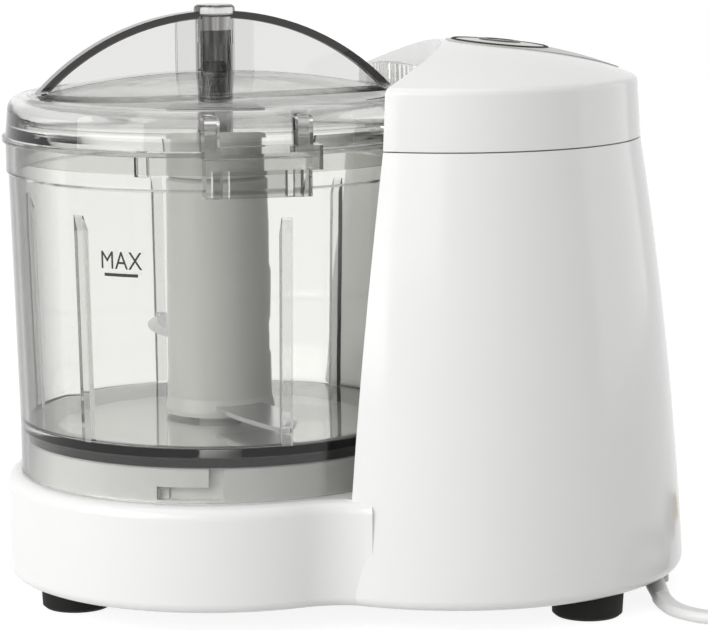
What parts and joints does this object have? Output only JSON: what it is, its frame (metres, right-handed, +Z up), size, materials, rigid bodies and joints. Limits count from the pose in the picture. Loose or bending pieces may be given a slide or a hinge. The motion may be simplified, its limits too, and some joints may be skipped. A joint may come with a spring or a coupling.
{
  "type": "food chopper",
  "caption": "Mini food chopper: clear bowl with a clear arched lid on a round base, bladed hub inside, wrapped by a white motor tower with one push button, mains lead and plug.",
  "frame": {"origin": "on the surface the feet stand on, under the middle of the machine's plan (its mains lead left out)", "axes": "+Z up; -Y is the front, where the grip is; the bowl is on the -X side and the motor tower on the +X side"},
  "size_m": [0.2654, 0.1253, 0.1557],
  "materials": {
    "white_shell": "glossy",
    "white_base": "satin",
    "clear_plastic": "clear",
    "hub_plastic": "glossy",
    "grey_panel": "satin",
    "grey_button": "satin",
    "gear_plastic": "satin",
    "black_plastic": "satin",
    "black_rubber": "matte",
    "steel": "brushed",
    "blade_steel": "polished",
    "zinc_steel": "satin",
    "dark_iron": "matte",
    "bronze": "satin",
    "board": "satin",
    "white_cord": "satin",
    "brass_pins": "polished"
  },
  "bodies": {
    "machine": {"upper_housing": "white_shell", "base_plate": "white_base", "rubber_feet": "black_rubber", "base_screws": "steel", "idler_pin": "steel", "idler_clip": "steel", "lower_bush": "bronze", "upper_bush": "bronze", "motor_bracket": "zinc_steel", "bracket_screws": "steel", "motor_screws": "steel", "motor_can": "zinc_steel", "magnets": "dark_iron", "motor_end_cap": "black_plastic", "rectifier_board": "board", "tower_cap": "white_shell", "button_panel": "grey_panel", "switch_bracket": "white_base", "cap_screws": "steel", "power_switch": "black_plastic", "interlock_switch": "black_plastic", "button_spring": "steel", "interlock_spring": "steel", "damper_ring": "black_rubber", "strain_relief": "white_cord", "cord": "white_cord", "cord_coil": "white_cord", "cord_tail": "white_cord", "plug_body": "white_cord", "plug_pins": "brass_pins"},
    "rotor": {"motor_shaft": "steel", "armature": "dark_iron", "motor_pinion": "bronze"},
    "idler": {"idler_gear": "gear_plastic"},
    "drive": {"spindle": "steel", "spindle_gear": "gear_plastic", "spindle_clip": "steel", "drive_hex": "gear_plastic", "blade_hub": "hub_plastic", "lower_blade": "blade_steel", "upper_blade": "blade_steel"},
    "bowl": {"bowl": "clear_plastic"},
    "lid": {"lid": "clear_plastic", "lid_bush": "white_base"},
    "button": {"power_button": "grey_button"},
    "plunger": {"interlock_plunger": "grey_button"}
  },
  "joints": [
    {"name": "motor_turn", "type": "hinge", "parent": "machine", "child": "rotor", "pos_m": [0.0543, 0, 0], "axis": [0, 0, 1], "continuous": true},
    {"name": "idler_turn", "type": "hinge", "parent": "machine", "child": "idler", "pos_m": [0.0228, 0, 0], "axis": [0, 0, 1], "continuous": true},
    {"name": "spindle_turn", "type": "hinge", "parent": "machine", "child": "drive", "pos_m": [-0.0337, 0, 0], "axis": [0, 0, 1], "continuous": true},
    {"name": "bowl_turn", "type": "hinge", "parent": "machine", "child": "bowl", "pos_m": [-0.0337, 0, 0], "axis": [0, 0, 1], "range_deg": [0, 15]},
    {"name": "lid_lift", "type": "slide", "parent": "bowl", "child": "lid", "axis": [0, 0, 1], "range_m": [0, 0.06]},
    {"name": "button_press", "type": "slide", "parent": "machine", "child": "button", "axis": [0, 0, -1], "range_m": [0, 0.0025], "stiffness_N_per_m": 400, "springref_m": -0.002, "deforming": ["button_spring"]},
    {"name": "interlock_slide", "type": "slide", "parent": "machine", "child": "plunger", "axis": [-0.8526, -0.5225, 0], "range_m": [0, 0.0025]}
  ],
  "couplings": [
    {"joint": "idler_turn", "follows": "motor_turn", "ratio": -0.28571},
    {"joint": "spindle_turn", "follows": "motor_turn", "ratio": 0.21875},
    {"joint": "interlock_slide", "follows": "bowl_turn", "m_per_rad": 0.009549}
  ]
}
